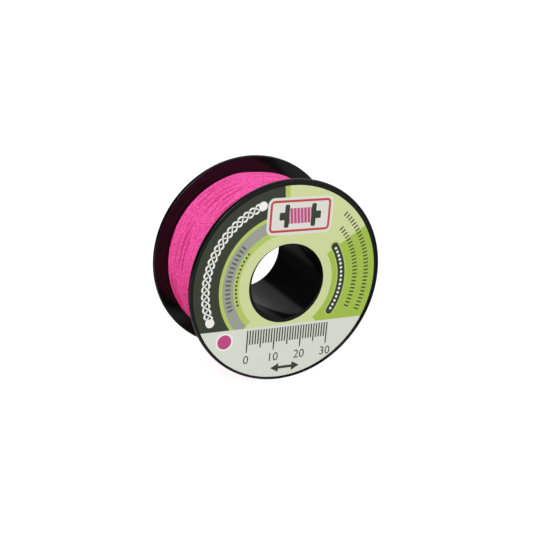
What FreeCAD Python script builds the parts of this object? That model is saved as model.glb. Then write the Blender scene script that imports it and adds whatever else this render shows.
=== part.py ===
"""Flanged spool of fluorescent braided nylon line: a hub tube, two snap-on flanges, a ring label and the wound line.

Millimetres. The axis is Y, the labelled front face looks toward -Y and Z is up. The origin is the centre of the bore,
half way between the two faces, so the spool reaches half its width either way along Y.
"""
import FreeCAD, Part
import math
import os

V = FreeCAD.Vector
ORIGIN = V(0, 0, 0)
AXIS = V(0, 1, 0)
UP = V(0, 0, 1)
BEND = "bend"

# ---- Overall ----
overall_width = 33.0      # from the front rim's face to the rear rim's face
flange_radius = 35.0

# ---- Bore and hub tube ----
bore_radius = 13.1        # runs on a 25 mm bar or a line winder's peg
spigot_wall = 1.3         # the tube's thinner ends, which the flanges slide over
bore_chamfer = 0.3        # at both mouths of the bore
lead_chamfer = 0.3        # on the spigot's end and in the collar's mouth, to start one into the other

# ---- Flange ----
flange_web = 1.5          # the disc between the label recess and the line
recess_depth = 0.3        # sinks the label below the rim, so that it doesn't scuff
rim_width = 0.8           # the raised lip round the recess
rim_bulge = 0.2           # how far the rim's rounded edge swells past its two corners
collar_wall = 1.1         # the sleeve on the flange's inner face, level with the hub
collar_length = 3.0
collar_root = 0.8         # slope between the sleeve and the disc
fit_clearance = 0.05      # radial gap between spigot and collar

# ---- Snap ridge and keys, which hold a flange on and stop it turning on the tube ----
ridge_height = 0.22
ridge_from_end = 2.1      # from the end of the tube to the ridge
key_count = 3
key_width = 5.0
key_length = 1.4
key_clearance = 0.1

# ---- Printed ring label ----
label_thickness = 0.15
label_drop = 0.4          # it is stuck a little below the middle of the flange
label_edge_gap = 0.35     # to the recess's wall, where it comes nearest

# ---- Wound line ----
line_length = 100000.0
line_diameter = 0.8
line_packing = 0.81       # share of the winding that is line, the rest being air between the turns

# ---- Places that follow ----
rim_face = overall_width / 2
recess_floor = rim_face - recess_depth
disc_face = recess_floor - flange_web
shoulder = disc_face - collar_length
spigot_radius = bore_radius + spigot_wall
socket_radius = spigot_radius + fit_clearance
hub_radius = socket_radius + collar_wall
recess_radius = flange_radius - rim_width
rim_corner = flange_radius - rim_bulge
label_outer_radius = recess_radius - label_drop - label_edge_gap
label_inner_radius = bore_radius + bore_chamfer + label_drop
line_volume = line_length * math.pi * line_diameter**2 / 4
winding_radius = math.sqrt(hub_radius**2 + line_volume / line_packing / (2 * math.pi * disc_face))


def turned(corners):
    """Sweeps a closed outline round the axis. Each corner is (radius, along, cut).

    A cut takes that length off both of the corner's sides. With BEND in its place, the outline runs from the corner
    before to the corner after as an arc through this point.
    """
    points = [V(radius, along, 0) for radius, along, cut in corners]
    path = []
    for i, point in enumerate(points):
        cut = corners[i][2]
        if cut and cut != BEND:
            back = (points[i - 1] - point).normalize()
            ahead = (points[(i + 1) % len(points)] - point).normalize()
            path += [(point + back * cut, 0), (point + ahead * cut, 0)]
        else:
            path.append((point, cut))
    edges = []
    for i, (point, how) in enumerate(path):
        following, next_how = path[(i + 1) % len(path)]
        after = path[(i + 2) % len(path)][0]
        if next_how == BEND:
            edges.append(Part.Arc(point, following, after).toShape())
        elif how != BEND:
            edges.append(Part.LineSegment(point, following).toShape())
    return Part.Face(Part.Wire(edges)).revolve(ORIGIN, AXIS, 360)


def other_end(shape):
    """The same moulding turned round to face the other way, as at the spool's other end."""
    copy = shape.copy()
    copy.rotate(ORIGIN, UP, 180)
    return copy


def snap_ridge(clearance):
    """A low ridge round the rear spigot. With a clearance it is the tool for the groove that it drops into."""
    foot = spigot_radius - spigot_wall / 4
    crest = spigot_radius + ridge_height + clearance
    middle = recess_floor - ridge_from_end
    reach = crest - foot
    return turned([(foot, middle - reach, 0), (foot, middle + reach, 0), (crest, middle, 0)])


def keys(clearance):
    """Tongues on the rear shoulder, evenly spaced, that reach into the collar. With a clearance they cut its notches."""
    tip = shoulder + key_length + clearance
    outer_radius = hub_radius + clearance
    ring = turned(
        [(spigot_radius, shoulder, 0), (spigot_radius, tip, 0), (outer_radius, tip, 0), (outer_radius, shoulder, 0)]
    )
    width = key_width + 2 * clearance
    tongues = []
    for i in range(key_count):
        slab = Part.makeBox(width, overall_width, flange_radius, V(-width / 2, 0, 0))
        slab.rotate(ORIGIN, AXIS, 360 * i / key_count)
        tongues.append(ring.common(slab))
    return tongues


def flange():
    """The rear flange. A disc with a raised lip outside, and inside a collar that slides over the spigot."""
    body = turned(
        [
            (socket_radius, shoulder, lead_chamfer),
            (socket_radius, recess_floor, 0),
            (recess_radius, recess_floor, 0),
            (recess_radius, rim_face, 0),
            (rim_corner, rim_face, 0),
            (flange_radius, (rim_face + disc_face) / 2, BEND),
            (rim_corner, disc_face, 0),
            (hub_radius, disc_face, collar_root),
            (hub_radius, shoulder, 0),
        ]
    )
    return body.cut(keys(key_clearance) + [snap_ridge(fit_clearance)])


def hub_tube():
    """A tube of one bore from face to face, stepped down at each end to a spigot with a snap ridge and keys."""
    body = turned(
        [
            (bore_radius, -recess_floor, bore_chamfer),
            (bore_radius, recess_floor, bore_chamfer),
            (spigot_radius, recess_floor, lead_chamfer),
            (spigot_radius, shoulder, 0),
            (hub_radius, shoulder, 0),
            (hub_radius, -shoulder, 0),
            (spigot_radius, -shoulder, 0),
            (spigot_radius, -recess_floor, lead_chamfer),
        ]
    )
    details = keys(0) + [snap_ridge(0)]
    return body.fuse(details + [other_end(detail) for detail in details]).removeSplitter()


def front_label():
    """A thin printed ring on the front recess's floor. It covers the joint between spigot and flange."""
    centre = V(0, -recess_floor, -label_drop)
    sheet = Part.makeCylinder(label_outer_radius, label_thickness, centre, -AXIS)
    hole = Part.makeCylinder(label_inner_radius, label_thickness, centre, -AXIS)
    return sheet.cut(hole)


def line_winding():
    """The wound line's outer form, tight between the flanges and on the hub."""
    return turned(
        [
            (hub_radius, disc_face, collar_root),
            (winding_radius, disc_face, line_diameter / 2),
            (winding_radius, -disc_face, line_diameter / 2),
            (hub_radius, -disc_face, collar_root),
        ]
    )


rear_flange = flange()
nodes = {
    "hub_tube": hub_tube(),
    "rear_flange": rear_flange,
    "front_flange": other_end(rear_flange),
    "front_label": front_label(),
    "line_winding": line_winding(),
}

os.makedirs("parts", exist_ok=True)
for name, shape in nodes.items():
    shape.exportStep("parts/" + name + ".step")
    box = shape.optimalBoundingBox()
    print(
        f"{name:14s} valid {shape.isValid()} solids {len(shape.Solids)} volume {shape.Volume:9.1f}"
        f"  x {box.XMin:.2f}..{box.XMax:.2f}  y {box.YMin:.2f}..{box.YMax:.2f}  z {box.ZMin:.2f}..{box.ZMax:.2f}"
    )
print(f"winding radius {winding_radius:.2f}, hub radius {hub_radius:.2f}")
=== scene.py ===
# %% [markdown]
# # A spool of braided line
#
# This lesson dresses one small object: a black plastic spool, 70 mm across, wound with 100 m of hot pink
# braided nylon line. It has five real pieces: a hub tube, two flanges, a printed ring label and the line.
#
# The sizes and places come from a fixed model of the spool, which is loaded first. Its axis is Y, the
# labelled face looks toward -Y, and the middle of the bore is the origin. Lengths are metres, and `MM`
# turns millimetres into them. Only the label's print is drawn in plain millimetres, from the label's own
# centre.

# %% Load the fixed model
import math

import bmesh
import bpy
from mathutils import Matrix, Vector, noise


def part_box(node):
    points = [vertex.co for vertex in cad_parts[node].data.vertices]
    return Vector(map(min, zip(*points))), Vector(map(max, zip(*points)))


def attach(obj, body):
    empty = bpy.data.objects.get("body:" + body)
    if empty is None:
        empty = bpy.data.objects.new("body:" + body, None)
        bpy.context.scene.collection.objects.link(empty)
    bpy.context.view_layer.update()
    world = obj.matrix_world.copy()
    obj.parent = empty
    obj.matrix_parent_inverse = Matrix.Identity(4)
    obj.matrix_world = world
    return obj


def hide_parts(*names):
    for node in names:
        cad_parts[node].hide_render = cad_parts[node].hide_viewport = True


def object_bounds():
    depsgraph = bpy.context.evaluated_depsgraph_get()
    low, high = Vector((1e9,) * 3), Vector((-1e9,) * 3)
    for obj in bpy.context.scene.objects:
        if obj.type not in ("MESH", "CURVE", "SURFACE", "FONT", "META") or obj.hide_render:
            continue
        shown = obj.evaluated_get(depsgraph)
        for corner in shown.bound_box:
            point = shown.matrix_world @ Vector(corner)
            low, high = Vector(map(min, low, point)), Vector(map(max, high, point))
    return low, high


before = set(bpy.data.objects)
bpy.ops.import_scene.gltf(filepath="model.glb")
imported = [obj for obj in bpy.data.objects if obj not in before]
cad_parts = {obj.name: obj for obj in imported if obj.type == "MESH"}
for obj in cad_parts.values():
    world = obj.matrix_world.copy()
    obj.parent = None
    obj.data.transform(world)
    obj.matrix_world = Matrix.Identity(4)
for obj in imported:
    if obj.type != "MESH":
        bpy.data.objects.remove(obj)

MM = 0.001
cad_low, cad_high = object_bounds()
scene = bpy.context.scene
print("nodes:", ", ".join(sorted(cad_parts)))

# %% [markdown]
# ## Sizes read from the model
#
# Each piece is measured from its own box, so that a new piece lands where the model has it. A hole
# doesn't show in a box, so its radius is the smallest distance of any point of the mesh from the hole's
# middle.
#
# The label is the one piece that is laid a little aside from its place in the model, as the hand that
# stuck it would do: about a third of a millimetre to the left.

# %% Measure the pieces
LINE_DIAMETER = 0.8 * MM
LABEL_ASIDE = -0.35 * MM

_, flange_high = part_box("rear_flange")
label_low, label_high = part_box("front_label")
_, winding_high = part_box("line_winding")
_, hub_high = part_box("hub_tube")

flange_radius = flange_high.z
rim_face = flange_high.y
disc_face = winding_high.y
winding_radius = winding_high.z
recess_floor = hub_high.y
hub_radius = hub_high.z
floor_height = cad_low.z


def hole_radius(node, across, up):
    """The radius of a node's hole whose middle is at this place."""
    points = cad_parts[node].data.vertices
    return min(math.hypot(point.co.x - across, point.co.z - up) for point in points)


label_radius = (label_high.x - label_low.x) / 2
label_centre = (label_high + label_low) / 2
label_hole_radius = hole_radius("front_label", label_centre.x, label_centre.z)
label_centre.x += LABEL_ASIDE
print(f"flange radius {flange_radius / MM:.1f} mm, width {2 * rim_face / MM:.1f} mm")

# %% [markdown]
# ## Shader maths as Python expressions
#
# A procedural material is a web of small nodes. Drawing the web by hand in code hides the sum that it
# works out, so a `Value` wraps one socket and lets Python's own operators add the Math nodes. A sum such
# as `1 - mask * 0.5` then reads as what it is. A `Nodes` object holds one node tree and adds any other
# node with a single method. Several inputs of a Mix node share a name, so its colour sockets are found by
# number.

# %% A small class for node arithmetic
def math_operator(operation, swapped=False):
    """A Python operator that adds one Math node."""
    def method(self, other):
        pair = (other, self) if swapped else (self, other)
        return self.nodes.add("ShaderNodeMath", pair, operation=operation)
    return method


class Value:
    """One output socket, which can be used in sums."""

    def __init__(self, nodes, socket):
        self.nodes = nodes
        self.socket = socket

    __add__ = math_operator("ADD")
    __radd__ = math_operator("ADD", swapped=True)
    __sub__ = math_operator("SUBTRACT")
    __rsub__ = math_operator("SUBTRACT", swapped=True)
    __mul__ = math_operator("MULTIPLY")
    __truediv__ = math_operator("DIVIDE")
    __pow__ = math_operator("POWER")
    __gt__ = math_operator("GREATER_THAN")
    __lt__ = math_operator("LESS_THAN")
    wrapped = math_operator("FLOORED_MODULO")
    smaller = math_operator("MINIMUM")
    larger = math_operator("MAXIMUM")

    def __abs__(self):
        return self.nodes.maths("ABSOLUTE", self)


print("node arithmetic ready")

# %% A class that adds nodes
MIX_LOW = 6
MIX_HIGH = 7
MIX_COLOUR = 2


class Nodes:
    """A node tree, and the ways to add to it."""

    def __init__(self, tree):
        self.tree = tree
        tree.nodes.clear()

    def put(self, socket, value):
        """Links a Value to the socket, or sets the socket to a plain number, colour or vector."""
        if isinstance(value, Value):
            self.tree.links.new(value.socket, socket)
        else:
            socket.default_value = value

    def add(self, kind, inputs=(), output=0, **settings):
        """Adds a node with these settings, fills its sockets, and returns one of its outputs."""
        node = self.tree.nodes.new(kind)
        for name, value in settings.items():
            setattr(node, name, value)
        places = inputs.items() if isinstance(inputs, dict) else enumerate(inputs)
        for place, value in places:
            self.put(node.inputs[place], value)
        if output is not None:
            return Value(self, node.outputs[output])

    def split(self, vector):
        """The three parts of a vector."""
        node = self.tree.nodes.new("ShaderNodeSeparateXYZ")
        self.put(node.inputs[0], vector)
        return [Value(self, part) for part in node.outputs]

    def maths(self, operation, *values):
        """A Math node that has no operator in Python."""
        return self.add("ShaderNodeMath", values, operation=operation)

    def mix(self, mask, low, high):
        """The colour low where the mask is 0, and high where it is 1."""
        places = {"Factor": mask, MIX_LOW: low, MIX_HIGH: high}
        return self.add("ShaderNodeMix", places, output=MIX_COLOUR, data_type="RGBA")

    def above(self, value, limit, blur):
        """0 below the limit and 1 above it, with a soft edge."""
        places = {"Value": value, "From Min": limit - blur / 2, "From Max": limit + blur / 2}
        return self.add("ShaderNodeMapRange", places)

    def within(self, value, low, high, blur):
        """1 between the two limits and 0 outside them."""
        return self.above(value, low, blur) * (1 - self.above(value, high, blur))


print("nodes ready")

# %% [markdown]
# ## A finish is one Principled shader
#
# Every surface here is one Principled BSDF. What is the same all over is set on its own socket. What
# changes over the surface is linked, and only into colour, roughness, emission colour and the normal.
# Colours are given as they look on screen, from 0 to 255, and are turned into the linear values that
# light works in.

# %% Start a finish
WHITE = (1, 1, 1, 1)
BLACK = (0, 0, 0, 1)


def screen_colour(red, green, blue):
    """A colour as it looks on screen, made linear."""
    linear = []
    for level in (red, green, blue):
        share = level / 255
        linear.append(share / 12.92 if share <= 0.04045 else ((share + 0.055) / 1.055) ** 2.4)
    return (*linear, 1)


class Finish(Nodes):
    """A material with one Principled shader."""

    def __init__(self, name):
        self.material = bpy.data.materials.new(name)
        self.material.use_nodes = True
        super().__init__(self.material.node_tree)
        self.shader = self.tree.nodes.new("ShaderNodeBsdfPrincipled")
        out = self.tree.nodes.new("ShaderNodeOutputMaterial")
        self.tree.links.new(self.shader.outputs[0], out.inputs[0])
        self.place = self.add("ShaderNodeTexCoord", output="Object")

    def set(self, **sockets):
        """set(Base_Color=...) puts a value or a link into each named socket."""
        for name, value in sockets.items():
            self.put(self.shader.inputs[name.replace("_", " ")], value)

    def noise(self, scale, detail, place=None):
        """Cloudy noise around 0.5, with this many clouds in a metre."""
        inputs = {"Vector": place or self.place, "Scale": scale, "Detail": detail}
        return self.add("ShaderNodeTexNoise", inputs)

    def bump(self, height, depth, strength):
        """Tilts the surface by a height that runs from 0 to 1 over this depth in metres."""
        places = {"Strength": strength, "Distance": depth, "Height": height}
        self.set(Normal=self.add("ShaderNodeBump", places))


def dress(piece, *finishes):
    """Gives a piece its finishes, in the order of its material slots."""
    piece.data.materials.clear()
    for finish in finishes:
        piece.data.materials.append(finish.material)


print("finishes ready")

# %% [markdown]
# ## The black plastic
#
# The tube and the flanges are moulded in glossy black plastic. Black shows its gloss more than its
# colour, so most of the work is in the roughness: broad, slow changes where the melt cooled unevenly, and
# fine streaks from handling. The rims rub against the table and the hand, so they have greyer, duller
# scuffs. The chamfered mouths of the bore are matte, where bars and fingers go in.

# %% Name the plastic's colours and the size of its marks
DEEP_BLACK = screen_colour(5, 5, 5)
WARM_BLACK = screen_colour(8, 8, 7)
SCUFFED = screen_colour(46, 47, 44)
PLASTIC_IOR = 1.41
GLOSSY = 0.11
RIM_WIDTH = 0.5 * MM
RIM_BLUR = 0.4 * MM
MATTE_MOUTH = 0.34 * MM
SHARP_EDGE = 0.02 * MM
COOLING_CLOUDS = 90
STREAK_CLOUDS = 900
SCUFF_CLOUDS = 1100
SKIN_GRAIN = 2600
STREAK_STRETCH = (1, 0.12, 1)

# A streak or a scuff is where its noise is above a limit. The second number is the blur of the limit.
STREAK_LIMIT = (0.62, 0.2)
SCUFF_LIMIT = (0.64, 0.14)
print("plastic's colours named")


# %% Make the black plastic
def black_plastic():
    plastic = Finish("black_plastic")
    x, along, z = plastic.split(plastic.place)
    radius = (x * x + z * z) ** 0.5
    broad = plastic.noise(COOLING_CLOUDS, 2)
    fine = plastic.noise(SKIN_GRAIN, 3)
    stretched = plastic.add("ShaderNodeMapping", {"Vector": plastic.place, "Scale": STREAK_STRETCH})
    streaks = plastic.above(plastic.noise(STREAK_CLOUDS, 4, stretched), *STREAK_LIMIT)
    rim = plastic.above(radius, flange_radius - RIM_WIDTH, RIM_BLUR)
    scuffs = rim * plastic.above(plastic.noise(SCUFF_CLOUDS, 4), *SCUFF_LIMIT)
    mouth = plastic.above(abs(along), recess_floor - MATTE_MOUTH, SHARP_EDGE)
    mouth = mouth * (1 - plastic.above(radius, hub_radius, SHARP_EDGE))
    colour = plastic.mix(broad, DEEP_BLACK, WARM_BLACK)
    colour = plastic.mix(scuffs * 0.35, colour, SCUFFED)
    plastic.set(Base_Color=colour, IOR=PLASTIC_IOR)
    worn = streaks * 0.08 + scuffs * 0.15 + mouth * 0.75
    plastic.set(Roughness=GLOSSY + broad * 0.05 + worn)
    plastic.bump(broad * 0.6 + fine * 0.4, 0.02 * MM, 0.35)
    return plastic


plastic = black_plastic()
dress(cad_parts["hub_tube"], plastic)
print("plastic on the tube")

# %% [markdown]
# ## Two flanges with rounded rims
#
# No moulded edge is perfectly sharp. Its tiny rounding catches the light as a thin bright line, and that
# line is most of what shows the shape of a black thing. The model's flanges have sharp rims, so each
# flange is a copy of the model's mesh with its rim edges bevelled. The model is a mesh of loose
# triangles, which have to be merged at their corners before an edge can be bevelled.

# %% Turn a bmesh into a piece
def finished(mesh, name, sharp=35):
    """An object from a bmesh, shaded smooth except at edges that turn by more than this many degrees."""
    for face in mesh.faces:
        face.smooth = True
    for edge in mesh.edges:
        edge.smooth = edge.calc_face_angle(0) < math.radians(sharp)
    data = bpy.data.meshes.new(name)
    mesh.to_mesh(data)
    mesh.free()
    piece = bpy.data.objects.new(name, data)
    scene.collection.objects.link(piece)
    print(f"{name}: {sum(len(p.vertices) - 2 for p in data.polygons)} triangles")
    return piece


# %% Round the rims of the flanges
EDGE_ROUNDING = 0.12 * MM
LIP_WIDTH = 0.7 * MM
HAIR = 0.001 * MM
SHARP_TURN = 0.3

rim_corner = max(
    math.hypot(point.co.x, point.co.z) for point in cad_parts["rear_flange"].data.vertices
    if abs(point.co.y - rim_face) < HAIR
)


def on_rim(edge):
    """Whether this edge is a sharp one of the rim. The corner at the foot of the lip isn't one."""
    far_out = all(math.hypot(point.co.x, point.co.z) > rim_corner - LIP_WIDTH for point in edge.verts)
    level = abs(edge.verts[0].co.y - edge.verts[1].co.y) < HAIR
    on_floor = abs(abs(edge.verts[0].co.y) - recess_floor) < 10 * HAIR
    return far_out and level and not on_floor and edge.calc_face_angle(0) > SHARP_TURN


def rounded_flange(node, name):
    """A flange that stands for this node, with its rim edges rounded."""
    mesh = bmesh.new()
    mesh.from_mesh(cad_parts[node].data)
    bmesh.ops.remove_doubles(mesh, verts=mesh.verts, dist=HAIR)
    rim_edges = [edge for edge in mesh.edges if on_rim(edge)]
    bmesh.ops.bevel(
        mesh, geom=rim_edges, offset=EDGE_ROUNDING, offset_type="OFFSET", segments=3, profile=0.5,
        affect="EDGES", material=-1, clamp_overlap=True,
    )
    piece = finished(mesh, name)
    weigh = piece.modifiers.new("flat faces stay flat", "WEIGHTED_NORMAL")
    weigh.keep_sharp = True
    dress(piece, plastic)
    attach(piece, "root")
    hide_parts(node)


rounded_flange("front_flange", "labelled_flange")
rounded_flange("rear_flange", "plain_flange")

# %% [markdown]
# ## The printed face of the label
#
# The label is a thin paper ring with a bright print. Its design is drawn by sums on the place of each
# point: how far it is from the label's centre, and in which direction. A step at a radius is a ring, a
# step at an angle is a sector, and the remainder of a division repeats a tick or a dot as often as
# needed. A picture file would blur when seen closely, but these edges stay crisp.
#
# The design is a plain one. Concentric bands and a white plait fill the left side, rows of ticks and a
# dark bar with dots the right side. A plate at the top holds a drawing of a spool. A pale panel at the
# bottom shows the line's colour and a 3 cm scale.

# %% Name the inks
PALE_GREEN = screen_colour(202, 212, 154)
PALE_GREEN_DEEP = screen_colour(197, 206, 146)
LIME = screen_colour(155, 182, 66)
STRIPE_LIME = screen_colour(172, 192, 94)
GREY = screen_colour(148, 151, 141)
CHARCOAL = screen_colour(42, 49, 34)
PLATE = screen_colour(213, 214, 206)
PANEL = screen_colour(211, 214, 203)
SWATCH = screen_colour(184, 64, 121)
RED = screen_colour(186, 58, 62)
INK = screen_colour(46, 51, 40)
PAPER = screen_colour(232, 232, 226)
PRINT_GRAIN = screen_colour(120, 122, 108)
print("inks named")

# %% Measure places on the label
LABEL_TURN = math.radians(-5)
INK_BLUR = 0.12


class LabelPrint(Finish):
    """The label's finish. Lengths are millimetres from the label's centre, and directions are degrees."""

    def __init__(self):
        super().__init__("label_print")
        x, _, z = self.split(self.place)
        x = (x - label_centre.x) / MM
        z = (z - label_centre.z) / MM
        self.across = x * math.cos(LABEL_TURN) + z * math.sin(LABEL_TURN)
        self.up = z * math.cos(LABEL_TURN) - x * math.sin(LABEL_TURN)
        self.radius = (self.across * self.across + self.up * self.up) ** 0.5

    def angle(self, middle):
        """The angle in radians from this direction, which is counted from the right."""
        cosine = math.cos(math.radians(middle))
        sine = math.sin(math.radians(middle))
        opposite = self.up * cosine - self.across * sine
        adjacent = self.across * cosine + self.up * sine
        return self.maths("ARCTAN2", opposite, adjacent)

    def ring(self, low, high):
        """Between two radii."""
        return self.within(self.radius, low, high, INK_BLUR)

    def sector(self, start, end, radius):
        """Between two directions, with edges that are sharp at this radius."""
        half = math.radians(end - start) / 2
        return 1 - self.above(abs(self.angle((start + end) / 2)), half, INK_BLUR / radius)

    def arc_bar(self, start, end, radius, width):
        """The distance to a bar that is bent along an arc and has round ends. It is below 0 inside."""
        half = math.radians(end - start) / 2
        beyond = (abs(self.angle((start + end) / 2)) - half).larger(0) * radius
        off = self.radius - radius
        return (beyond * beyond + off * off) ** 0.5 - width / 2

    def inside(self, distance):
        """Where a distance is below 0."""
        return 1 - self.above(distance, 0, INK_BLUR)

    def cells(self, middle, count, radius, pitch):
        """An even number of cells along an arc: the place along each cell, and the arc that they cover."""
        along = self.angle(middle) * radius
        covered = 1 - self.above(abs(along), count * pitch / 2, INK_BLUR)
        return along.wrapped(pitch) - pitch / 2, covered

    def ticks(self, middle, count, radius, pitch, width, height):
        """Radial marks of this width and height."""
        place, covered = self.cells(middle, count, radius, pitch)
        mark = 1 - self.above(abs(place), width / 2, INK_BLUR)
        return mark * covered * self.ring(radius - height / 2, radius + height / 2)

    def dots(self, middle, count, radius, pitch, size):
        """Round dots of this size."""
        place, covered = self.cells(middle, count, radius, pitch)
        off = self.radius - radius
        return covered * self.inside((place * place + off * off) ** 0.5 - size / 2)

    def box(self, across, up, width, height, corner, shift=(0, 0)):
        """The distance to an upright box with round corners, around the middle that shift moves."""
        side = (abs(across - shift[0]) - (width / 2 - corner)).larger(0)
        top = (abs(up - shift[1]) - (height / 2 - corner)).larger(0)
        return (side * side + top * top) ** 0.5 - corner


print("label measures ready")

# %% [markdown]
# A plait is three strands that swing from side to side, each a third of a swing behind the next. A strand
# lies over its neighbour on one side of the swing and under it on the other. A second wave, twice as
# fast, gives that height, and a strand is painted only where no higher strand is near.

# %% Draw the plait
STRANDS = 3
STRAND_GAP = 0.8


def plait(label, start, end, radius, swing, length, width):
    """A plait along an arc, with a bead at each end. Swing is how far it goes to each side."""
    along = label.angle((start + end) / 2) * radius
    half = math.radians(end - start) / 2 * radius
    phase = along * (2 * math.pi / length)
    off = label.radius - radius
    to_end = abs(along) - half
    bead = label.inside((to_end * to_end + off * off) ** 0.5 - swing - width / 2)
    strands = []
    for i in range(STRANDS):
        turn = phase + i * 2 * math.pi / STRANDS
        distance = abs(off - label.maths("SINE", turn) * swing)
        strands.append((distance, label.maths("SINE", turn * 2)))
    total = 0
    for i, (distance, height) in enumerate(strands):
        shown = label.inside(distance - width / 2)
        for other_distance, other_height in strands[:i] + strands[i + 1:]:
            covered = label.inside(other_distance - width * STRAND_GAP) * (other_height > height)
            shown = shown * (1 - covered)
        total = shown + total
    return (total * (to_end < 0)).larger(bead).smaller(1)


print("plait ready")

# %% [markdown]
# The layers of the print are laid as a printer would lay them: the field first, then the bands, the rows
# of marks, the plate with its drawing, and the panel at the bottom. Each layer is a mask and an ink.

# %% Lay the bands and the plait on the left
BANDS_START = 96
BANDS_END = 225
BANDS = ((17.5, 19.5, STRIPE_LIME), (19.5, 23.3, GREY), (23.3, 24.5, STRIPE_LIME))
BANDS_OUTSIDE = BANDS[-1][1]
BAND_END_STRIPE = 3


def left_side(label, colour):
    bands = label.sector(BANDS_START, BANDS_END, radius=26)
    for low, high, ink in BANDS:
        colour = label.mix(bands * label.ring(low, high), colour, ink)
    outside = label.above(label.radius, BANDS_OUTSIDE, INK_BLUR)
    colour = label.mix(bands * outside, colour, CHARCOAL)
    end_stripe = label.sector(BANDS_START - BAND_END_STRIPE, BANDS_START, radius=30)
    colour = label.mix(end_stripe * outside, colour, STRIPE_LIME)
    white_plait = plait(label, start=112, end=203, radius=29.2, swing=1.2, length=7.0, width=0.66)
    colour = label.mix(white_plait, colour, PAPER)
    ticks = label.ticks(middle=171, count=16, radius=21.4, pitch=1.5, width=0.6, height=1.8)
    colour = label.mix(ticks * 0.8, colour, INK)
    dots = label.dots(middle=171, count=14, radius=18.5, pitch=1.4, size=0.8)
    return label.mix(dots, colour, INK)


print(len(BANDS) + 1, "bands planned on the left")

# %% Lay the marks and the bar on the right
LIME_INSIDE = 17
BAR_RADIUS = 20.6
BAR_OUTLINE = 0.5


def right_side(label, colour):
    lime = label.sector(-50, 33, radius=26) * label.above(label.radius, LIME_INSIDE, INK_BLUR)
    colour = label.mix(lime, colour, LIME)
    for middle, count, radius in ((13, 30, 30.3), (10, 24, 25.9)):
        ticks = label.ticks(middle, count, radius, pitch=1.3, width=0.5, height=1.8)
        colour = label.mix(ticks, colour, INK)
    bar = label.arc_bar(start=-33, end=34, radius=BAR_RADIUS, width=2.7)
    colour = label.mix(label.inside(bar - BAR_OUTLINE), colour, STRIPE_LIME)
    colour = label.mix(label.inside(bar), colour, CHARCOAL)
    dots = label.dots(middle=0.5, count=16, radius=BAR_RADIUS, pitch=1.5, size=0.9)
    return label.mix(dots, colour, PAPER)


print("right side planned")

# %% Draw a spool on the plate
PLATE_PLACE = (2.8, 23.2)
RED_LINE = (-1.7, -0.9)
DRAWN_TURN = 1.25
DRAWN_LEAN = 0.12
DRAWN_GAP = 0.42


def plate(label, colour):
    """A straight plate with a red line just inside its edge, and a spool seen from the side."""
    across = label.across - PLATE_PLACE[0]
    up = label.up - PLATE_PLACE[1]
    edge = label.box(across, up, width=24, height=12.6, corner=2.4)
    colour = label.mix(label.inside(edge), colour, PLATE)
    colour = label.mix(label.within(edge, *RED_LINE, INK_BLUR), colour, RED)
    line = label.inside(label.box(across, up, width=8.6, height=5.2, corner=0.4))
    colour = label.mix(line, colour, SWATCH)
    place = (across + up * DRAWN_LEAN).wrapped(DRAWN_TURN) - DRAWN_TURN / 2
    gaps = label.above(abs(place), DRAWN_GAP, 0.1)
    colour = label.mix(line * gaps * 0.6, colour, PLATE)
    for side in (-1, 1):
        disc = label.box(across, up, width=1.7, height=7.8, corner=0.6, shift=(side * 4.9, 0))
        stub = label.box(across, up, width=2.2, height=2.6, corner=0.4, shift=(side * 6.5, 0))
        colour = label.mix(label.inside(disc.smaller(stub)), colour, INK)
    return colour


print("plate planned")

# %% [markdown]
# The panel's scale is true: its marks are one millimetre apart, and run to 30. Every fifth mark is
# longer, and every tenth is longer still. A short double arrow lies under the scale's middle.

# %% Draw the panel with its swatch
PANEL_TOP = -14.6
SWATCH_PLACE = (-21.3, -18.6)
SWATCH_WIDTH = 5.0
SWATCH_OUTLINE = 0.6


def panel(label, colour):
    colour = label.mix(1 - label.above(label.up, PANEL_TOP, INK_BLUR), colour, PANEL)
    swatch = label.box(
        label.across, label.up, SWATCH_WIDTH, SWATCH_WIDTH, corner=SWATCH_WIDTH / 2, shift=SWATCH_PLACE
    )
    colour = label.mix(label.inside(swatch - SWATCH_OUTLINE), colour, PAPER)
    return label.mix(label.inside(swatch), colour, SWATCH)


print("panel planned")

# %% Draw the scale
SCALE_START = -13.0
SCALE_LENGTH = 30
SCALE_TOP = -15.5
SHORT_MARK_FOOT = -20.6
EXTRA_LENGTH = 1.4
MARK_WIDTH = 0.5


def every(label, along, step):
    """A mark at each multiple of this step."""
    place = abs((along + step / 2).wrapped(step) - step / 2)
    return 1 - label.above(place, MARK_WIDTH / 2, INK_BLUR)


def scale(label, colour):
    along = label.across - SCALE_START
    longer = every(label, along, 5) * EXTRA_LENGTH + every(label, along, 10) * EXTRA_LENGTH
    marks = every(label, along, 1) * label.within(along, -0.3, SCALE_LENGTH + 0.3, INK_BLUR)
    marks = marks * (1 - label.above(label.up, SCALE_TOP, INK_BLUR))
    marks = marks * (label.up > SHORT_MARK_FOOT - longer)
    return label.mix(marks, colour, INK)


print("scale:", SCALE_LENGTH + 1, "marks")

# %% Draw the double arrow
ARROW_HEIGHT = -30.2
ARROW_HALF = 5.5
ARROW_SLOPE = 0.55
HEAD_LENGTH = 3.0
SHAFT_END = 1.2
SHAFT_HALF = 0.5


def arrow(label, colour):
    middle = SCALE_START + SCALE_LENGTH / 2
    from_tip = ARROW_HALF - abs(label.across - middle)
    off = abs(label.up - ARROW_HEIGHT)
    head = label.above(from_tip * ARROW_SLOPE - off, 0, INK_BLUR) * (from_tip < HEAD_LENGTH)
    shaft = (1 - label.above(off, SHAFT_HALF, INK_BLUR)) * (from_tip > SHAFT_END)
    return label.mix(head.larger(shaft), colour, INK)


print("arrow planned")

# %% [markdown]
# A print on real paper isn't a flat colour. Fine grain from the paper breaks it up a little, and the
# varnish over it has a soft sheen.

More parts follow.
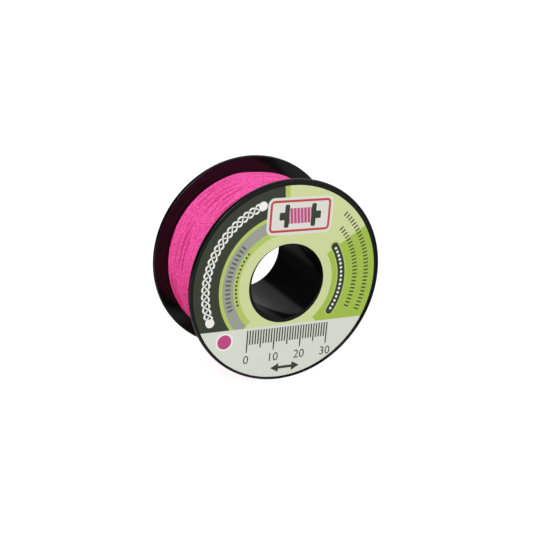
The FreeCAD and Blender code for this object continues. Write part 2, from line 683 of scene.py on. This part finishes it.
# %% Print the label
FIELD_CLOUDS = 40
INK_CLOUDS = 300
PAPER_GRAIN = 3800
VARNISH_IOR = 1.4


def printed_label():
    label = LabelPrint()
    colour = label.mix(label.noise(FIELD_CLOUDS, 2), PALE_GREEN, PALE_GREEN_DEEP)
    for layer in (left_side, right_side, plate, panel, scale, arrow):
        colour = layer(label, colour)
    grain = label.noise(PAPER_GRAIN, 3)
    cloud = label.noise(INK_CLOUDS, 2)
    colour = label.mix(label.above(grain, 0.5, 0.5) * 0.06 + cloud * 0.02, colour, PRINT_GRAIN)
    label.set(Base_Color=colour)
    label.set(Roughness=0.46 + grain * 0.14, Coat_Weight=0.1, Coat_Roughness=0.35, IOR=VARNISH_IOR)
    label.bump(grain * 0.5 + cloud, 0.012 * MM, 0.3)
    return label


label_print = printed_label()
print(len(label_print.tree.nodes), "nodes draw the label")

# %% [markdown]
# The cut edge of the label shows the white paper inside it, as a hair-thin bright line along the print.
# So the label has a second finish, which is plain paper with fine fibres.

# %% Make the bare paper
DARK_FIBRE = screen_colour(214, 213, 206)
LIGHT_FIBRE = screen_colour(236, 236, 231)
FIBRE_GRAIN = 5000

bare_paper = Finish("bare_paper")
fibres = bare_paper.noise(FIBRE_GRAIN, 3)
bare_paper.set(Base_Color=bare_paper.mix(fibres, DARK_FIBRE, LIGHT_FIBRE))
bare_paper.set(Roughness=0.8 + fibres * 0.1)
bare_paper.bump(fibres, 0.01 * MM, 0.3)
print("bare paper ready")

# %% [markdown]
# ## The label's shape
#
# A ring with a flat section is the easiest thing to spin: the four corners of the section are joined into
# a loop, and the loop is swept once round the axis. The label lies a little low in its recess and a
# little to the left, so it is moved there once it is made. Its front takes the print, and its back and
# its cut edges the bare paper.

# %% Spin a closed section round the axis
ROUND_STEPS = 240
CORNER_LIMIT = 10000


def face_rank(face):
    """A number to sort faces by, since the operators may list them in another order each time."""
    corners = [vert.index for vert in face.verts]
    return min(corners) * CORNER_LIMIT + max(corners)


def spun(section):
    """A ring. The section is a loop of (radius, along) corners."""
    mesh = bmesh.new()
    corners = [mesh.verts.new((radius, along, 0)) for radius, along in section]
    for i, corner in enumerate(corners):
        mesh.edges.new((corners[i - 1], corner))
    bmesh.ops.spin(
        mesh, geom=mesh.verts[:] + mesh.edges[:], cent=(0, 0, 0), axis=(0, 1, 0),
        angle=2 * math.pi, steps=ROUND_STEPS, use_merge=True,
    )
    bmesh.ops.remove_doubles(mesh, verts=mesh.verts, dist=1e-7)
    bmesh.ops.recalc_face_normals(mesh, faces=mesh.faces)
    mesh.verts.index_update()
    mesh.faces.sort(key=face_rank)
    return mesh


print("rings have", ROUND_STEPS, "steps")

# %% Make the label
def label_ring():
    """The label. Its first finish is the print, and its second the bare paper."""
    mesh = spun([
        (label_hole_radius, label_low.y),
        (label_radius, label_low.y),
        (label_radius, label_high.y),
        (label_hole_radius, label_high.y),
    ])
    bmesh.ops.translate(mesh, verts=mesh.verts, vec=(label_centre.x, 0, label_centre.z))
    for face in mesh.faces:
        face.material_index = 0 if face.normal.y < -0.9 else 1
    return finished(mesh, "printed_ring_label")


label = label_ring()
dress(label, label_print, bare_paper)
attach(label, "root")
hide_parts("front_label")

# %% [markdown]
# ## The numbers of the scale
#
# A figure's curves are the one thing here that is hard to draw with sums, so the numbers are real text,
# set in Blender's own plain typeface. Each becomes a mesh a hair thicker than nothing, turned to face
# forwards, and laid on the paper like a film of ink.

# %% Set the numbers
INK_FILM = 0.006 * MM
NUMBER_HEIGHT = 4.3 * MM
NUMBERS_UP = -27.4
NUMBER_STEP = 10


def printed_number(number):
    """A number's mesh, in its place under the scale."""
    text = bpy.data.curves.new("number", "FONT")
    text.body = str(number)
    text.size = NUMBER_HEIGHT
    text.align_x = "CENTER"
    text.extrude = INK_FILM
    text.resolution_u = 3
    holder = bpy.data.objects.new("number", text)
    data = bpy.data.meshes.new_from_object(holder)
    bpy.data.objects.remove(holder)
    across = Matrix.Translation(Vector((SCALE_START + number, 0, NUMBERS_UP)) * MM)
    tilt = Matrix.Rotation(-LABEL_TURN, 4, "Y")
    upright = Matrix.Rotation(math.radians(90), 4, "X")
    place = Matrix.Translation((label_centre.x, label_low.y, label_centre.z))
    data.transform(place @ tilt @ across @ upright)
    return data


numbers = bmesh.new()
for number in range(0, SCALE_LENGTH + 1, NUMBER_STEP):
    numbers.from_mesh(printed_number(number))
bmesh.ops.remove_doubles(numbers, verts=numbers.verts, dist=1e-8)
bmesh.ops.recalc_face_normals(numbers, faces=numbers.faces)
scale_numbers = finished(numbers, "scale_numbers")
ink = Finish("number_ink")
ink_grain = ink.noise(PAPER_GRAIN, 3)
ink.set(Base_Color=ink.mix(ink_grain, INK, CHARCOAL), Roughness=0.45 + ink_grain * 0.1)
dress(scale_numbers, ink)
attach(scale_numbers, "root")

# %% [markdown]
# ## The braided line
#
# The line is 0.8 mm thick, braided from eight strands of nylon, and dyed a fluorescent pink. Fluorescent
# dye turns unseen light into pink light, so the line looks brighter than white paper would allow. A
# little emission stands for that. The strands cross each other, and each crossing is a small lump with a
# dark hollow beside it.
#
# The mesh of the line carries a UV map: U goes from 0 to 1 along the line, and V goes once round it. The
# finish uses it to put its lumps exactly where the mesh of the outer turns has them, with painted shade in
# the hollows between them, and to run its fibres along the strands. Each turn's top is painted paler than
# its sides, which is painted shade on the sides. Small specks break up the colour, and here and there a
# short stretch of the line is darker, which is painted shade too. The painted shade darkens the glow as
# well.

# %% Name the pinks and the sizes in the braid
# Dark ends: painted shade and dark specks. Light ends: painted light on lumps, and light specks.
DARK_SPECK_AND_SHADE_PINK = screen_colour(128, 4, 74)
LIGHT_SPECK_AND_LIT_PINK = screen_colour(210, 98, 178)
DARK_SPECK_AND_SHADE_GLOW = screen_colour(140, 2, 44)
LIGHT_SPECK_AND_LIT_GLOW = screen_colour(174, 14, 76)
LUMPS_ROUND = 4
FIBRES_A_LUMP = 3
STREAKS_A_TURN = 9
FUZZ_GRAIN = 4200
SPECK_CLOUDS = 1400

# The pale top of each turn, the specks and the darker stretches each begin at a limit, which has a blur.
# The pale top and the darker stretches are painted shade: they darken the sides of each turn and those
# stretches.
PAINTED_TOP_LIGHT_LIMIT = (0.45, 0.9)
SPECK_LIMIT = (0.5, 0.22)
PAINTED_SHADE_STRETCH_LIMIT = (0.38, 0.08)
print("pinks named")


# %% Make the pink nylon
def pink_nylon(name, steps, turns):
    """A finish for a line of this many steps and turns, with a lump at every second step."""
    nylon = Finish(name)
    progress, share, _ = nylon.split(nylon.add("ShaderNodeUVMap", uv_map="braid"))
    along = progress * (steps * math.pi)
    round_line = share * (LUMPS_ROUND * 2 * math.pi)
    # Painted shade: the sides of each turn are darkened and the top is kept pale.
    painted_light_on_top = nylon.above(nylon.maths("COSINE", share * (2 * math.pi)), *PAINTED_TOP_LIGHT_LIMIT)
    lump = nylon.maths("COSINE", along) * nylon.maths("COSINE", round_line) * 0.5 + 0.5
    lengthwise = along * FIBRES_A_LUMP
    crosswise = round_line * FIBRES_A_LUMP
    fibres = nylon.maths("SINE", lengthwise + crosswise) * nylon.maths("SINE", lengthwise - crosswise)
    fuzz = nylon.noise(FUZZ_GRAIN, 3)
    speck = nylon.above(nylon.noise(SPECK_CLOUDS, 2), *SPECK_LIMIT)
    # Painted shade: short stretches of the line are darkened where this noise is low.
    one_way = {"W": progress * turns, "Scale": STREAKS_A_TURN, "Detail": 1}
    along_noise = nylon.add("ShaderNodeTexNoise", one_way, noise_dimensions="1D")
    bright = nylon.above(along_noise, *PAINTED_SHADE_STRETCH_LIMIT)
    # Painted shade in hollows, on turn sides and in dark stretches, mixed with random specks, fuzz and
    # fibres.
    specks_and_painted_shade = lump * 0.2 + fuzz * 0.1 + speck * 0.45 + fibres * 0.05 + 0.25
    specks_and_painted_shade = specks_and_painted_shade * (painted_light_on_top * 0.5 + 0.5) * (bright * 0.65 + 0.35)
    colour = nylon.mix(specks_and_painted_shade, DARK_SPECK_AND_SHADE_PINK, LIGHT_SPECK_AND_LIT_PINK)
    glow = nylon.mix(specks_and_painted_shade, DARK_SPECK_AND_SHADE_GLOW, LIGHT_SPECK_AND_LIT_GLOW)
    nylon.set(Base_Color=colour, Emission_Color=glow, Emission_Strength=1.0)
    nylon.set(Roughness=0.62 + fuzz * 0.15, Specular_IOR_Level=0.25)
    nylon.set(Sheen_Weight=0.05, Sheen_Roughness=0.4)
    nylon.bump(lump * 0.6 + fuzz * 0.3 + fibres * 0.1, 0.06 * MM, 0.6)
    return nylon


print("pink nylon ready")

# %% [markdown]
# ## Winding the line
#
# A line on a spool is a very long, thin tube laid in a helix. Sweeping a circle along a curve would work,
# but the tube would be smooth. Here the tube starts as a flat grid, with one row of squares for each step
# along the line and one column for each side of it. Each point of the grid is then moved to its place in
# the winding: the long way of the grid runs round the spool, and the short way wraps round the line.
# Every second point is pushed outwards a little, like the squares of a chessboard, which gives the lumps
# of the braid.
#
# No winding is perfect. Slow noise moves the turns along the spool and up and down. Part of it is shared
# by neighbours and part is each turn's own, so that gaps open and close between them as they do when a
# machine lays the line. Close to the flanges there is no room to move along the spool, and that part
# fades out. At the top of the rear side the winding is sunk in one narrow place, and both ends are tucked
# in below their neighbours.

# %% Name how uneven the winding is
WANDER = 0.26 * MM
OWN_WANDER = 0.16 * MM
WANDER_REACH = 2.2 * MM
RISE = 0.22 * MM
SWELL = 0.16 * MM
SWELL_REACH = 3 * MM
SLACK = 0.35 * MM
FADE = 1 * MM
DIP = 0.8 * MM
DIP_NARROWNESS = 20
DIP_PLACE = math.radians(82)
DIP_DIRECTION = Vector((math.cos(DIP_PLACE), math.sin(DIP_PLACE), 0))
END_TUCK = 0.9 * MM
TUCKED_TURN = 0.06
LUMP = 0.065 * MM

# A noise has its detail round the spool and a field of its own. The rest is how often it changes in a turn.
SHARED_NOISE = (1.3, (0, 0))
OWN_NOISE = (1.6, (9, 0))
RISE_NOISE = (1.5, (0, 9))
SWELL_NOISE = (0.9, (5, 5))
OWN_CHANGES = 1.7
RISE_CHANGES = 1.3
SLACK_CHANGES = 60
PLUMP_CHANGES = 150
print(f"each turn wanders up to {OWN_WANDER / MM:.2f} mm on its own")


# %% Find the middle of the line
def uneven(around, detail, field, along):
    """Smooth noise around 0. More detail changes faster round the spool, and field keeps noises apart."""
    return noise.noise(around * detail + Vector((*field, along)))


def line_middle(progress, turns, centre_radius, lean, phase):
    """The line's middle after this share of the way: its direction, its radius and its place along."""
    turn = progress * turns
    slack = noise.noise(Vector((turn * SLACK_CHANGES, 3, 3))) * SLACK
    angle = 2 * math.pi * turn + phase + slack / centre_radius
    around = Vector((math.cos(angle), math.sin(angle), 0))
    travel = 2 * (disc_face - LINE_DIAMETER / 2)
    place = lean * (progress - 0.5) * travel
    shared = uneven(around, *SHARED_NOISE, place / WANDER_REACH)
    own = uneven(around, *OWN_NOISE, turn * OWN_CHANGES)
    rise = uneven(around, *RISE_NOISE, turn * RISE_CHANGES)
    swell = uneven(around, *SWELL_NOISE, place / SWELL_REACH)
    place += (shared * WANDER + own * OWN_WANDER) * min(1, (travel / 2 - abs(place)) / FADE)
    tuck = END_TUCK * max(0, 1 - min(turn, turns - turn) / TUCKED_TURN) ** 2
    rearward = max(0, place / travel * 2)
    dip = max(0, around.dot(DIP_DIRECTION)) ** DIP_NARROWNESS * rearward * DIP
    return around, centre_radius + rise * RISE + swell * SWELL - dip - tuck, place


print("the way of the line is known")

# %% Wind one layer
def wound_layer(name, centre_radius, turns, steps_a_turn, sides, lean, phase):
    """A helix of line from flange to flange. Lean is 1 or -1 for the way that it climbs along the spool."""
    steps = round(turns * steps_a_turn)
    mesh = bmesh.new()
    mesh.loops.layers.uv.new("braid")
    bmesh.ops.create_grid(mesh, x_segments=steps, y_segments=sides, size=0.5, calc_uvs=True)
    for point in mesh.verts:
        progress = point.co.x + 0.5
        side = round((point.co.y + 0.5) * sides) % sides
        step = round(progress * steps)
        around, radius, place = line_middle(progress, turns, centre_radius, lean, phase)
        plump = 1 + noise.noise(Vector((progress * turns * PLUMP_CHANGES, side * 0.8, 7)))
        lump = LUMP * plump * (1 if (side + step) % 2 == 0 else -1)
        out = 2 * math.pi * side / sides
        radius += math.cos(out) * (LINE_DIAMETER / 2 + lump)
        place += math.sin(out) * (LINE_DIAMETER / 2 + lump)
        point.co = (around.x * radius, place, around.y * radius)
    bmesh.ops.remove_doubles(mesh, verts=mesh.verts, dist=1e-8)
    bmesh.ops.holes_fill(mesh, edges=[edge for edge in mesh.edges if edge.is_boundary])
    bmesh.ops.recalc_face_normals(mesh, faces=mesh.faces)
    piece = finished(mesh, name, sharp=180)
    dress(piece, pink_nylon(name, steps, turns))
    return piece


print("winder ready")

# %% [markdown]
# Only the outer turns are seen, so only they get the full detail. Their steps don't go evenly into a
# turn, so that the lumps of neighbours don't line up. The layer under them closes the small gaps, and a
# plain ring stands for the rest of the hundred metres. It keeps a hair's breadth clear of the plastic.

# %% Wind the two layers of turns
TURNS = 35
UNDER_DEPTH = 0.62 * MM

top_centre = winding_radius - LINE_DIAMETER / 2
outer_turns = wound_layer(
    "outer_turns", top_centre, TURNS, steps_a_turn=313.4, sides=8, lean=1, phase=2.0
)
under_turns = wound_layer(
    "under_turns", top_centre - UNDER_DEPTH, TURNS, steps_a_turn=200, sides=6, lean=-1, phase=2.4
)

# %% Fill the middle with packed nylon
CORE_DEPTH = 0.75 * MM
SLIP = 0.02 * MM
PACKED_DARK = screen_colour(150, 20, 84)
PACKED_PINK = screen_colour(190, 40, 118)
PACKED_CLOUDS = 900

inside = hub_radius + SLIP
outside = top_centre - CORE_DEPTH
end = disc_face - SLIP
core = spun([(inside, -end), (inside, end), (outside, end), (outside, -end)])
inner_turns = finished(core, "inner_turns")
packed = Finish("packed_nylon")
packed.set(Base_Color=packed.mix(packed.noise(PACKED_CLOUDS, 3), PACKED_DARK, PACKED_PINK))
packed.set(Roughness=0.8)
dress(inner_turns, packed)

for piece in (outer_turns, under_turns, inner_turns):
    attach(piece, "root")
    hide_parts("line_winding")

# %% [markdown]
# ## Floor, light and camera
#
# The spool stands on its two rims on a pale floor. To the camera the floor glows nearly white all the way
# to the back, and its own shading keeps the soft shadow under the rims. As a source of light it is mid
# grey, so that it lights the spool only a little from below. Gloss sees a slightly lighter grey, apart
# from a painted dark band behind the spool with a painted dim patch in it. Band and patch are painted
# shade that only reflections show. The band is the part of the floor that the bore mirrors, so the dark
# inside of the bore is a painted reflection.

# %% Name the floor's colours and places
FLOOR_HALF = 4.0
FLOOR_GLOW = 0.86
PLAIN_FLOOR = (0.3, 0.3, 0.3, 1)
LIGHT_FLOOR = (0.4, 0.4, 0.4, 1)
# The dim and the dark floor below are painted shade, seen only in reflections.
PAINTED_DIM_PATCH = (0.11, 0.11, 0.11, 1)
PAINTED_DARK_BAND = (0.03, 0.03, 0.03, 1)
BORE_SLANT = math.tan(math.radians(33.4))
BAND_GROWTH = 0.3

# Each edge below has its place and the width of its blur.
BAND_SIDE = (20 * MM, 6 * MM)
BAND_RIGHT = (65 * MM, 20 * MM)
PATCH_LEFT = (-20 * MM, 8 * MM)
PATCH_START = (54 * MM, 5 * MM)
print("floor's colours named")


# %% Lay the floor
def mirrored_floor(paint):
    """The floor's colour for gloss. A painted dark band runs where light slants out of the bore."""
    across, behind, _ = paint.split(paint.place)
    from_axis = (across * across + floor_height ** 2) ** 0.5
    off_band = abs(from_axis - (behind - rim_face) * BORE_SLANT) - from_axis * BAND_GROWTH
    open_floor = paint.above(off_band, *BAND_SIDE).larger(paint.above(across, *BAND_RIGHT))
    patch = paint.above(across, *PATCH_LEFT) * paint.above(behind, *PATCH_START)
    # Painted shade for reflections: dark in the band, dim in the patch, light elsewhere.
    return paint.mix(open_floor, paint.mix(patch, PAINTED_DARK_BAND, PAINTED_DIM_PATCH), LIGHT_FLOOR)


def studio_floor():
    mesh = bmesh.new()
    bmesh.ops.create_grid(mesh, x_segments=1, y_segments=1, size=FLOOR_HALF)
    bmesh.ops.translate(mesh, verts=mesh.verts, vec=(0, 0, floor_height))
    floor = finished(mesh, "studio_floor")
    paint = Finish("floor_paint")
    clear = paint.add("ShaderNodeLightPath", output="Is Camera Ray")
    clear = clear + paint.add("ShaderNodeLightPath", output="Is Transmission Ray")
    glossy = paint.add("ShaderNodeLightPath", output="Is Glossy Ray")
    paint.set(Base_Color=paint.mix(glossy, PLAIN_FLOOR, mirrored_floor(paint)))
    paint.set(Emission_Color=paint.mix(clear, BLACK, WHITE), Emission_Strength=FLOOR_GLOW)
    paint.set(Roughness=1.0, Specular_IOR_Level=0.0)
    dress(floor, paint)


studio_floor()

# %% [markdown]
# The world is white where the camera or clear material looks at it. As a light it fills the shadows at a
# little over half. Gloss sees a darker studio, because black plastic mirrors the whole room and not the
# white sweep alone: one pale wall stands behind the spool, to the right, and the rest is dim. The edge of
# that wall is the soft line that runs along the inside of the bore. Its two limits are given as a place
# and a blur, like the floor's.

# %% Light the world
SKY_FILL = 0.55
PALE_WALL = 0.38
DIM_ROOM = 0.02
WALL_LEFT = (-0.1, 0.1)
WALL_FRONT = (0.1, 0.3)


def studio_world():
    world = bpy.data.worlds.new("studio")
    world.use_nodes = True
    scene.world = world
    sky = Nodes(world.node_tree)
    across, behind, _ = sky.split(sky.add("ShaderNodeTexCoord", output="Generated"))
    wall = sky.above(across, *WALL_LEFT) * sky.above(behind, *WALL_FRONT)
    room = wall * (PALE_WALL - DIM_ROOM) + DIM_ROOM
    glossy = sky.add("ShaderNodeLightPath", output="Is Glossy Ray")
    clear = sky.add("ShaderNodeLightPath", output="Is Camera Ray")
    clear = clear + sky.add("ShaderNodeLightPath", output="Is Transmission Ray")
    strength = clear * (1 - SKY_FILL) + glossy * (room - SKY_FILL) + SKY_FILL
    light = sky.add("ShaderNodeBackground", {"Color": WHITE, "Strength": strength})
    sky.add("ShaderNodeOutputWorld", {"Surface": light}, output=None)


studio_world()
print("world lit")

# %% [markdown]
# Two soft square lamps do the rest. The stronger one hangs high at the front left, and the weaker one at
# the front right lightens the shadows that the first one leaves.

# %% Hang two soft lamps
def soft_lamp(name, place, size, power):
    """A square lamp that looks at the spool's centre."""
    data = bpy.data.lights.new(name, "AREA")
    data.size = size
    data.energy = power
    lamp = bpy.data.objects.new(name, data)
    lamp.location = place
    lamp.rotation_euler = (-Vector(place)).to_track_quat("-Z", "Y").to_euler()
    lamp.visible_camera = False
    scene.collection.objects.link(lamp)


soft_lamp("key_lamp", place=(-0.5, -0.85, 0.86), size=0.7, power=13.6)
soft_lamp("fill_lamp", place=(0.9, -0.8, 0.5), size=0.8, power=4.5)
print("two lamps hung")

# %% [markdown]
# The camera looks down a little, from the left of the labelled face, through a long lens. That keeps the
# far flange nearly as large as the near one.

# %% Place the camera
CAMERA_TURN = math.radians(-26.43)
CAMERA_RISE = math.radians(21.16)
CAMERA_DISTANCE = 10.871 * flange_radius
CAMERA_TARGET = Vector((0.315, 0, -0.225)) * MM
CAMERA_LENS = 75.18

camera_data = bpy.data.cameras.new("camera")
camera_data.lens = CAMERA_LENS
camera_data.clip_start = 10 * MM
camera = bpy.data.objects.new("camera", camera_data)
back = Vector((
    math.sin(CAMERA_TURN) * math.cos(CAMERA_RISE),
    -math.cos(CAMERA_TURN) * math.cos(CAMERA_RISE),
    math.sin(CAMERA_RISE),
))
camera.location = CAMERA_TARGET + back * CAMERA_DISTANCE
camera.rotation_euler = (-back).to_track_quat("-Z", "Y").to_euler()
scene.collection.objects.link(camera)
scene.camera = camera
scene.view_settings.view_transform = "Standard"
print(f"camera {camera.location.length / MM:.0f} mm from the spool's centre")
